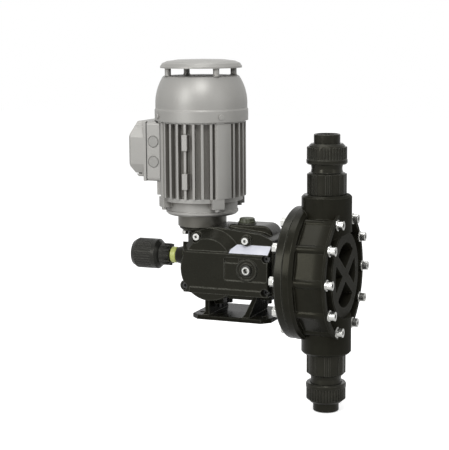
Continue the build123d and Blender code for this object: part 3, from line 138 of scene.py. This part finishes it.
class Finish(NodeTree):
    """A surface: constants go on the shader's own sockets, patterns are fed into them."""

    rays = 6

    def __init__(self, name, colour, roughness, metallic=0.0,
                 specular=0.5, ior=1.5, gloss=(1, 1, 1)):
        self.material = bpy.data.materials.new(name)
        super().__init__(self.material)
        self.shader = self.tree.nodes["Principled BSDF"]
        self.normal = None
        constants = {
            "Base Color": (*colour, 1), "Roughness": roughness, "Metallic": metallic,
            "IOR": ior, "Specular Tint": (*gloss, 1), "Specular IOR Level": specular,
        }
        for socket, value in constants.items():
            self.shader.inputs[socket].default_value = value

    def place(self):
        """Coordinates of the pump's own frame, in metres."""
        return self.add("ShaderNodeTexCoord", output="Object")

    def along(self, axis):
        """One of those coordinates: X, Y or Z."""
        return self.add("ShaderNodeSeparateXYZ", sockets={"Vector": self.place()}, output=axis)

    def noise(self, scale, detail=2.0, rough=0.5, stretch=None):
        """Even noise with a pattern size of about one over the scale, in metres."""
        where = self.place()
        if stretch:
            where = self.add("ShaderNodeMapping", sockets={"Vector": where, "Scale": stretch})
        return self.add("ShaderNodeTexNoise", sockets={
            "Vector": where, "Scale": scale, "Detail": detail, "Roughness": rough,
        })

    def between(self, value, low, high):
        """A value cut to the range from low to high and stretched to run from 0 to 1."""
        return self.add("ShaderNodeValToRGB", {"stops": (low, high)}, {"Fac": value})

    def blend(self, mask, first, second):
        """Two colours mixed by a mask; either may be a value."""
        sides = [side if isinstance(side, Value) else (*side, 1) for side in (first, second)]
        # The Mix node names its sockets alike for every data type, so those for colour go by
        # number.
        return self.add("ShaderNodeMix", {"data_type": "RGBA"},
                        {0: mask, 6: sides[0], 7: sides[1]}, output=2)

    def mottle(self, pattern, dark, light, least_rough=None, rougher=0.0):
        """Colour from dark to light with a pattern, and roughness from its least up with it."""
        self.feed("Base Color", self.blend(pattern, dark, light))
        if least_rough is not None:
            self.feed("Roughness", least_rough + pattern * rougher)

    def edges(self, radius):
        """Rounds the corners by a radius in metres, and gives where they are, from 0 to 1."""
        slight_turn, full_turn = 0.004, 0.09
        self.normal = self.add("ShaderNodeBevel", {"samples": self.rays}, {"Radius": radius})
        flat = self.add("ShaderNodeNewGeometry", output="Normal")
        agreement = self.add("ShaderNodeVectorMath", {"operation": "DOT_PRODUCT"},
                             {0: self.normal, 1: flat}, output="Value")
        return self.between(1 - agreement, slight_turn, full_turn)

    def hollows(self, reach):
        """How far the piece shuts in its own surface within that reach, from 0 to 1."""
        sky = self.add("ShaderNodeAmbientOcclusion", {"samples": self.rays, "only_local": True},
                       {"Distance": reach}, output="AO")
        return 1 - sky

    def feed(self, socket, value):
        """Let a value drive one of the shader's sockets."""
        self.tree.links.new(value.socket, self.shader.inputs[socket])

    def relief(self, height, depth, strength):
        """A bump of that depth in metres, on the rounded corners where there are any."""
        sockets = {"Height": height, "Distance": depth, "Strength": strength}
        if self.normal:
            sockets["Normal"] = self.normal
        self.feed("Normal", self.add("ShaderNodeBump", sockets=sockets))


floor_level = -0.1335
glow_seen, glow_mirrored = 0.71, 0.15
bpy.ops.mesh.primitive_plane_add(size=12, location=(0.0, 0.0, floor_level))
floor = bpy.context.object
floor.name = "floor"
paper = Finish("floor_paper", (0.80, 0.80, 0.80), 0.9, specular=0.1)
paper.shader.inputs["Emission Color"].default_value = (1, 1, 1, 1)
in_view = paper.add("ShaderNodeLightPath", output="Is Camera Ray")
in_gloss = paper.add("ShaderNodeLightPath", output="Is Glossy Ray")
paper.feed("Emission Strength", in_view * glow_seen + in_gloss * glow_mirrored)
floor.data.materials.append(paper.material)

air_light = 0.38
world = bpy.data.worlds.new("studio")
bpy.context.scene.world = world
air = NodeTree(world)
shown = air.add("ShaderNodeLightPath", output="Is Camera Ray")
for ray in ("Is Glossy Ray", "Is Transmission Ray"):
    shown = shown + air.add("ShaderNodeLightPath", output=ray)
background = air.tree.nodes["Background"]
supply(air.tree, background.inputs["Color"], (1, 1, 1, 1))
supply(air.tree, background.inputs["Strength"], shown * (1.0 - air_light) + air_light)


def lamp(name, place, aim_at, size, watts):
    """A soft rectangular studio lamp."""
    bpy.ops.object.light_add(type="AREA", location=place)
    light = bpy.context.object
    light.name = name
    light.data.shape = "RECTANGLE"
    light.data.size, light.data.size_y = size
    light.data.energy = watts
    turn_to(light, aim_at)


lamp("front_left", (-0.75, -2.0, 0.95), aim_at=(0, 0, 0.12), size=(0.4, 1.3), watts=19)
lamp("right", (2.3, -0.8, 0.9), aim_at=(0.1, 0, 0.1), size=(0.5, 1.4), watts=5)
lamp("high_front", (0.62, -1.55, 1.75), aim_at=(0, 0, 0.15), size=(0.55, 0.55), watts=21)
lamp("overhead", (-0.2, 0.2, 2.2), aim_at=(0, 0, 0.1), size=(1.3, 1.0), watts=16)


# Foot: steel plate bent and welded, under black enamel like the castings above it. Four screws
# come up through its bosses into the casing.
def dress(finish, *names):
    """Give CAD pieces their finish."""
    for name in names:
        piece = nodes[name]
        piece.data.materials.clear()
        piece.data.materials.append(finish.material)


def enamelled(name, waviness, tint=(0.0065, 0.0064, 0.0045), specular=0.30):
    """Thin black enamel: a little olive, wavy, pale on corners with painted highlight and rubbed
    wear, and dusty in hollows.
    """
    dust, edge_highlight_and_wear = (0.030, 0.027, 0.018), (0.15, 0.15, 0.13)
    finish = Finish(name, tint, 0.30, specular=specular, ior=1.35, gloss=(1, 0.98, 0.82))
    corner = finish.edges(radius=0.0018)
    waves = finish.noise(waviness, detail=3.0)
    grain = finish.noise(1300)
    patches = finish.noise(26, detail=4.0, rough=0.6)
    rubbed = finish.between(finish.noise(95, detail=4.0, rough=0.7), 0.42, 0.72)
    skin = finish.blend(patches, [0.7 * part for part in tint], [1.35 * part for part in tint])
    dusty = finish.blend(finish.hollows(reach=0.012) * 0.45, skin, dust)
    # Painted highlight on every corner, stronger where rubbed wear shows.
    finish.feed("Base Color", finish.blend(corner * (0.35 + rubbed * 0.5), dusty, edge_highlight_and_wear))
    finish.feed("Roughness", 0.15 + patches * 0.18 + grain * 0.06)
    finish.relief(waves * 0.75 + grain * 0.25, depth=0.0004, strength=0.35)
    return finish


dress(enamelled("foot_enamel", 120, specular=0.09), "foot_bracket")

blued = Finish("blued_steel", (0.030, 0.030, 0.032), 0.4, metallic=0.8)
blued.mottle(blued.noise(300, detail=3.0), (0.020, 0.020, 0.023), (0.045, 0.044, 0.042),
             least_rough=0.32, rougher=0.16)
dress(blued, "foot_screws")


# Gearbox: die-cast aluminium casing with its worm column, motor flange and head hub, painted
# black. Its open side is closed by the side cover on a thin sheet gasket.
dress(enamelled("casing_enamel", 190), "main_casing", "side_cover")

rubber = Finish("black_rubber", (0.025, 0.025, 0.025), 0.75)
rubber.mottle(rubber.noise(500, detail=3.0), (0.018, 0.018, 0.018), (0.038, 0.038, 0.038),
              least_rough=0.66, rougher=0.2)
dress(rubber, "cover_gasket")


# Side cover's fastenings: socket cap screws in zinc, those in the front face sunk and painted
# over with the cover, and the bright drain plug in its ringed boss.
front_face_top = 0.11
cover_zinc = Finish("cover_screw_zinc", (0.70, 0.70, 0.69), 0.28, metallic=1.0)
sheen = cover_zinc.noise(400, detail=3.0)
bare = cover_zinc.along("Z") > front_face_top
# Painted shade: the key sockets and other hollows of the screws are darkened.
socket_shade = cover_zinc.between(cover_zinc.hollows(reach=0.003), 0.25, 0.7)
bright = cover_zinc.blend(sheen, (0.48, 0.48, 0.46), (0.68, 0.68, 0.65))
bright = cover_zinc.blend(socket_shade, bright, (0.04, 0.04, 0.035))
cover_zinc.feed("Base Color", cover_zinc.blend(bare, (0.020, 0.020, 0.018), bright))
cover_zinc.feed("Metallic", bare)
cover_zinc.feed("Roughness", 0.24 + sheen * 0.16)
dress(cover_zinc, "cover_screws")

bright_radius = 0.0056
plug = Finish("drain_plug_steel", (0.5, 0.5, 0.48), 0.3, metallic=1.0)
low, high = (Vector(corner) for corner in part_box("drain_plug"))
centred = plug.add("ShaderNodeMapping", sockets={
    "Vector": plug.place(), "Scale": (1, 0, 1),
    "Location": (-(low.x + high.x) / 2, 0.0, -(low.z + high.z) / 2)})
from_middle = plug.add("ShaderNodeVectorMath", {"operation": "LENGTH"}, {0: centred},
                       output="Value")
collar = from_middle > bright_radius
scratches = plug.noise(700, detail=3.0)
steel = plug.blend(scratches, (0.42, 0.42, 0.40), (0.66, 0.66, 0.63))
# Painted shade: the plug's key socket and hollows are darkened.
shade_darkened = plug.blend(plug.between(plug.hollows(reach=0.004), 0.2, 0.6), steel, (0.03, 0.03, 0.026))
plug.feed("Base Color", plug.blend(collar, shade_darkened, (0.022, 0.022, 0.019)))
plug.feed("Metallic", 1 - collar)
plug.feed("Roughness", 0.24 + scratches * 0.2)
dress(plug, "drain_plug")


# Blank plate on the cover's shelf: thin tin sheet lacquered bluish white, slightly glossy, cut
# to the shelf's outline and glued on.
label = Finish("blank_label", (0.60, 0.61, 0.68), 0.3)
label.mottle(label.noise(90), (0.52, 0.53, 0.61), (0.68, 0.69, 0.74),
             least_rough=0.26, rougher=0.14)
dress(label, "label_plate")


# Oil filler plug: a stopper moulded in dark olive green plastic, screwed by hand into the top
# of the filler block.
olive = Finish("filler_plug_plastic", (0.045, 0.050, 0.028), 0.42)
lip = olive.edges(radius=0.0008)
dust = olive.noise(900)
green = olive.blend(dust, (0.032, 0.036, 0.020), (0.058, 0.062, 0.038))
# Painted highlight: the stopper's edges are lightened.
olive.feed("Base Color", olive.blend(lip * 0.5, green, (0.12, 0.13, 0.085)))
olive.feed("Roughness", 0.36 + dust * 0.14)
olive.relief(dust, depth=0.0002, strength=0.3)
dress(olive, "filler_plug")


# Worm gear: ground steel worm in ball bearings, bronze wheel of thirty teeth, steel shaft with
# its eccentric lobe and roller ring. Everything runs in oil.
ground = Finish("ground_steel", (0.56, 0.56, 0.57), 0.24, metallic=1.0)
ring_marks = ground.noise(700, stretch=(1, 1, 6))
ground.mottle(ring_marks, (0.48, 0.48, 0.49), (0.62, 0.62, 0.63),
              least_rough=0.16, rougher=0.2)
dress(ground, "worm_shaft", "eccentric_shaft", "roller_ring", "gearbox_bearings")

bronze = Finish("gear_bronze", (0.62, 0.42, 0.18), 0.3, metallic=1.0)
bronze.mottle(bronze.noise(150, detail=3.0), (0.50, 0.33, 0.13), (0.70, 0.49, 0.22),
              least_rough=0.22, rougher=0.2)
dress(bronze, "worm_wheel")


# Pusher: turned steel rod and frame that the eccentric drives, in a bronze bush with a lip seal,
# sent back by its spring. The support disc behind the diaphragm is screwed on its end.
dress(ground, "pusher", "support_disc", "return_spring")
dress(bronze, "pusher_bush")
dress(rubber, "pusher_seal")


# Stroke adjustment: fluted knob in dark grey plastic with a yellow-green scale ring, a bush, and
# the threaded spindle that stops the pusher's way back.
knob_plastic = Finish("knob_plastic", (0.022, 0.022, 0.021), 0.45,
                      specular=0.35, ior=1.38, gloss=(1, 0.98, 0.88))
edge_wear_and_highlight = knob_plastic.edges(radius=0.0007)
speck = knob_plastic.noise(1500)
greasy = knob_plastic.between(knob_plastic.noise(110, detail=3.0), 0.4, 0.65)
body = knob_plastic.blend(speck, (0.009, 0.009, 0.008), (0.020, 0.020, 0.018))
# Painted shade: the flutes and other hollows are darkened.
body = knob_plastic.blend(knob_plastic.hollows(reach=0.004) * 0.5, body, (0.006, 0.006, 0.006))
# Painted highlight on the edges, stronger where greasy wear shows.
body = knob_plastic.blend(edge_wear_and_highlight * (0.25 + greasy * 0.4), body, (0.11, 0.11, 0.10))
knob_plastic.feed("Base Color", body)
knob_plastic.feed("Roughness", 0.22 + speck * 0.12 - greasy * 0.06)
knob_plastic.relief(speck, depth=0.0002, strength=0.4)
dress(knob_plastic, "stroke_knob", "knob_bush")

ring_plastic = Finish("scale_ring_plastic", (0.42, 0.46, 0.13), 0.34)
streak = ring_plastic.noise(400)
ring_plastic.mottle(streak, (0.34, 0.38, 0.08), (0.52, 0.56, 0.19),
                    least_rough=0.28, rougher=0.12)
dress(ring_plastic, "scale_ring")
dress(ground, "adjusting_spindle")


# Motor: aluminium castings and a finned frame in smooth warm grey paint with a fine metal flake,
# held together by four long tie bolts and screwed down on the gearbox flange.
def motor_painted(name):
    """Warm grey paint with a flake, painted shade deep between fins, painted highlight on corners,
    and its colour.
    """
    finish = Finish(name, (0.30, 0.29, 0.275), 0.48, metallic=0.40)
    corner = finish.edges(radius=0.0010)
    flake = finish.noise(2600, detail=1.0)
    skin = finish.noise(240)
    cloud = finish.noise(22, detail=3.0, rough=0.6)
    tint = finish.blend(cloud, (0.245, 0.24, 0.225), (0.305, 0.30, 0.285))
    tint = finish.blend(flake * 0.30, tint, (0.44, 0.43, 0.41))
    # Painted shade: the paint is darkened deep between the fins and in other hollows.
    hollow_shade = finish.between(finish.hollows(reach=0.018), 0.12, 0.50)
    shade_darkened = finish.blend(hollow_shade * 0.78, tint, (0.070, 0.062, 0.050))
    # Painted highlight: the paint is lightened on every corner.
    colour = finish.blend(corner * 0.5, shade_darkened, (0.58, 0.57, 0.54))
    finish.feed("Base Color", colour)
    finish.feed("Roughness", 0.40 + cloud * 0.10 + hollow_shade * 0.2)
    finish.relief(skin * 0.6 + flake * 0.4, depth=0.0003, strength=0.25)
    return finish, colour


motor_paint = motor_painted("motor_paint")[0]
dress(motor_paint, "motor_frame", "fan_end_shield", "tie_bolts")

spigot_top, paint_edge = 0.1485, 0.1500
shield_paint, painted = motor_painted("shield_paint")
# Painted shade: the spigot band under the shield is darkened, with turning marks, and made
# smoother.
spigot = 1 - shield_paint.between(shield_paint.along("Z"), spigot_top, paint_edge)
tool_marks = shield_paint.noise(500, stretch=(1, 1, 5))
shaded_spigot = shield_paint.blend(tool_marks, (0.10, 0.095, 0.08), (0.15, 0.145, 0.125))
shield_paint.feed("Base Color", shield_paint.blend(spigot, painted, shaded_spigot))
shield_paint.feed("Roughness", 0.42 - spigot * 0.14)
dress(shield_paint, "drive_end_shield")

zinc = Finish("bright_zinc", (0.72, 0.72, 0.71), 0.26, metallic=1.0)
zinc.edges(radius=0.0004)
bloom = zinc.noise(420, detail=3.0, rough=0.6)
marks = zinc.noise(1300)
bright = zinc.blend(bloom, (0.44, 0.44, 0.42), (0.66, 0.66, 0.63))
# Painted shade: key sockets and other hollows of the screws are darkened.
hollow_shade = zinc.between(zinc.hollows(reach=0.004), 0.25, 0.75)
zinc.feed("Base Color", zinc.blend(hollow_shade, bright, (0.05, 0.05, 0.045)))
zinc.feed("Roughness", 0.18 + bloom * 0.22)
zinc.relief(marks, depth=0.0001, strength=0.3)
dress(zinc, "motor_screws")
dress(ground, "rotor_shaft", "motor_bearings")

iron = Finish("laminated_iron", (0.16, 0.16, 0.165), 0.5, metallic=0.6)
sheets = iron.add("ShaderNodeTexWave", {"bands_direction": "Z"},
                  {"Vector": iron.place(), "Scale": 320.0})
iron.mottle(sheets, (0.10, 0.10, 0.105), (0.22, 0.22, 0.225))
iron.relief(sheets, depth=0.0002, strength=0.4)
dress(iron, "stator_pack", "rotor_core")


# Fan and its cover: a plastic fan on the shaft's end under a pressed steel cover and a rain cap
# on four posts, painted like the motor. The cover's screws are painted with it.
fan_plastic = Finish("fan_plastic", (0.030, 0.030, 0.030), 0.5)
dots = fan_plastic.noise(1200)
fan_plastic.mottle(dots, (0.022, 0.022, 0.022), (0.040, 0.040, 0.040),
                   least_rough=0.42, rougher=0.14)
dress(fan_plastic, "cooling_fan")
dress(motor_paint, "fan_cover", "cover_bolts", "rain_cap")


# Terminal box: cast base and a lid with sloped corners, both in the motor's paint, held together
# by four screws with a rubber gasket between them. The terminal board is inside, and blanking
# discs close the two cable entries.
lid_foot = 0.006
upper_fold, lower_fold = 0.024, 0.025
corner_cut = 0.004
lid_wall = 0.004
rim_thickness, rim_round = 0.005, 0.0008
recess_radius, hole_radius = 0.0040, 0.0021
hole_floor, hole_length = 0.006, 0.009
screw_side, screw_bottom, screw_top = 0.008, 0.012, 0.009
overrun = 0.001
dress(motor_paint, "terminal_base")
dress(rubber, "terminal_gasket")


def make_active(piece):
    """Select this piece and nothing else, for the operators that follow."""
    bpy.ops.object.select_all(action="DESELECT")
    piece.select_set(True)
    bpy.context.view_layer.objects.active = piece


def set_place():
    """Put the new object's place, turn and size into its mesh, and give the object."""
    bpy.ops.object.transform_apply(location=True, rotation=True, scale=True)
    return bpy.context.object


def add_block(start, end):
    """A rectangular block from one corner to the opposite one."""
    bpy.ops.object.select_all(action="DESELECT")
    bpy.ops.mesh.primitive_cube_add(
        size=1, location=[(a + b) / 2 for a, b in zip(start, end)],
        scale=[b - a for a, b in zip(start, end)])
    return set_place()


def lid_block(inset, back):
    """The lid's outer form, or the space inside it: a block whose outer end is sloped all round."""
    low, high = (Vector(corner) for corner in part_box("terminal_cover"))
    left, right = low.x + inset, high.x + back
    bottom, top = low.z + lid_foot + inset, high.z - inset
    near, far = low.y + inset, high.y - inset
    block = add_block((left, near, bottom), (right, far, top))
    fold_above, fold_below = high.z - upper_fold - inset / 2, low.z + lower_fold + inset / 2
    # Each slope is a point on it and the way it faces: two on the lid's front, two on each end,
    # and two upright cuts across the front's corners.
    slopes = [
        ((left, 0, fold_above), (-0.0225, 0, 0.0128)),
        ((left, 0, fold_below), (-0.019, 0, -0.0145)),
        ((0, near, fold_above), (0, -0.024, 0.0060)),
        ((0, near, fold_below), (0, -0.024, -0.0072)),
        ((0, far, fold_above), (0, 0.024, 0.0060)),
        ((0, far, fold_below), (0, 0.024, -0.0072)),
        ((left, near + corner_cut, 0), (-1, -1, 0)),
        ((left, far - corner_cut, 0), (-1, 1, 0)),
    ]
    bpy.ops.object.mode_set(mode="EDIT")
    for point, facing in slopes:
        bpy.ops.mesh.select_all(action="SELECT")
        bpy.ops.mesh.bisect(plane_co=point, plane_no=facing, use_fill=True, clear_outer=True)
    bpy.ops.mesh.select_all(action="SELECT")
    bpy.ops.mesh.normals_make_consistent(inside=False)
    bpy.ops.object.mode_set(mode="OBJECT")
    return block


def combine(piece, other, operation):
    """Join another solid to a piece or cut it out, and delete the other."""
    change = piece.modifiers.new("change", "BOOLEAN")
    change.operation = operation
    change.object = other
    make_active(piece)
    bpy.ops.object.modifier_apply(modifier=change.name)
    bpy.data.objects.remove(other)


def drill(piece, radius, start, end, y, z):
    """Drill a round hole into a piece along X."""
    bpy.ops.object.select_all(action="DESELECT")
    bpy.ops.mesh.primitive_cylinder_add(
        vertices=48, radius=radius, depth=end - start, location=((start + end) / 2, y, z),
        rotation=(0, math.pi / 2, 0))
    combine(piece, set_place(), "DIFFERENCE")


lid = lid_block(0.0, overrun - rim_thickness)
lid.name = "terminal_lid"
low, high = (Vector(corner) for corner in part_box("terminal_cover"))
rim = add_block((high.x - rim_thickness, low.y, low.z), high)
soften = rim.modifiers.new("soften", "BEVEL")
soften.width, soften.segments = rim_round, 2
bpy.ops.object.modifier_apply(modifier=soften.name)
combine(lid, rim, "UNION")
combine(lid, lid_block(lid_wall, overrun), "DIFFERENCE")
for y in (low.y + screw_side, high.y - screw_side):
    for z in (low.z + screw_bottom, high.z - screw_top):
        drill(lid, recess_radius, low.x - overrun, high.x - hole_floor, y, z)
        drill(lid, hole_radius, high.x - hole_length, high.x + overrun, y, z)
make_active(lid)
bpy.ops.object.shade_smooth_by_angle(angle=math.radians(11))
lid.data.materials.append(motor_paint.material)
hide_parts("terminal_cover")
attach(lid, "casing")

dress(zinc, "terminal_screws")

grey_plastic = Finish("knockout_plastic", (0.26, 0.255, 0.24), 0.45)
grey_plastic.edges(radius=0.0005)
mould = grey_plastic.noise(700)
grey_plastic.mottle(mould, (0.22, 0.215, 0.20), (0.31, 0.305, 0.29))
grey_plastic.relief(mould, depth=0.0002, strength=0.3)
dress(grey_plastic, "knockouts")

board = Finish("brown_board", (0.14, 0.05, 0.02), 0.35)
board.mottle(board.noise(500), (0.10, 0.035, 0.014), (0.19, 0.07, 0.03))
dress(board, "terminal_block")


# Back plate and head: a cast plate behind and a thick turned block of black plastic in front,
# clamped by ten long screws with washers and nuts round the rim.
dress(enamelled("plate_enamel", 160), "back_plate")

front_starts, front_full = 0.140, 0.150
head_plastic = Finish("head_plastic", (0.016, 0.016, 0.014), 0.40,
                      specular=0.20, ior=1.33, gloss=(1, 0.97, 0.76))
corner = head_plastic.edges(radius=0.0012)
swirl = head_plastic.noise(60, detail=3.0)
fine = head_plastic.noise(1500)
scuffed = head_plastic.between(head_plastic.noise(75, detail=4.0, rough=0.7), 0.45, 0.7)
block = head_plastic.blend(swirl, (0.006, 0.006, 0.0045), (0.014, 0.0135, 0.010))
block = head_plastic.blend(head_plastic.hollows(reach=0.02) * 0.4, block, (0.020, 0.017, 0.009))
# Painted highlight on the corners, stronger where scuffed wear shows.
block = head_plastic.blend(corner * (0.2 + scuffed * 0.4), block, (0.12, 0.12, 0.105))
head_plastic.feed("Base Color", block)
front = head_plastic.between(head_plastic.along("X"), front_starts, front_full)
head_plastic.feed("Roughness", 0.13 + swirl * 0.16 + fine * 0.05 + front * 0.45)
head_plastic.relief(fine, depth=0.0002, strength=0.3)
dress(head_plastic, "pump_head")
dress(zinc, "head_bolts", "head_washers", "head_nuts", "hub_screws")

facing = Finish("pale_plastic", (0.80, 0.80, 0.78), 0.4)
facing.mottle(facing.noise(300), (0.72, 0.72, 0.70), (0.86, 0.86, 0.84),
              least_rough=0.34, rougher=0.14)
dress(facing, "diaphragm")


# Valves: moulded black plastic bodies, the same above and below, with a seat ring, a ball and
# flat rings inside. A fluted union nut holds each pipe end to its body.
valve_plastic = Finish("valve_plastic", (0.020, 0.020, 0.018), 0.44,
                       specular=0.32, ior=1.35, gloss=(1, 0.97, 0.78))
ridge = valve_plastic.edges(radius=0.0010)
blotch = valve_plastic.noise(70, detail=3.0)
pores = valve_plastic.noise(1400)
tone = valve_plastic.blend(blotch, (0.007, 0.007, 0.0055), (0.018, 0.0175, 0.014))
# Painted shade: hollows of the bodies and nuts are darkened.
tone = valve_plastic.blend(valve_plastic.hollows(reach=0.008) * 0.5, tone, (0.008, 0.008, 0.007))
# Painted highlight: the edges are lightened.
valve_plastic.feed("Base Color", valve_plastic.blend(ridge * 0.4, tone, (0.13, 0.13, 0.115)))
valve_plastic.feed("Roughness", 0.16 + blotch * 0.16)
valve_plastic.relief(pores, depth=0.0002, strength=0.35)
dress(valve_plastic, "suction_valve_body", "discharge_valve_body", "suction_nut", "discharge_nut",
      "suction_connector", "discharge_connector")
dress(facing, "suction_seat", "discharge_seat", "suction_ball", "discharge_ball")
dress(rubber, "valve_gaskets")


# Colour: the render uses the Standard view transform.
bpy.context.scene.view_settings.view_transform = "Standard"
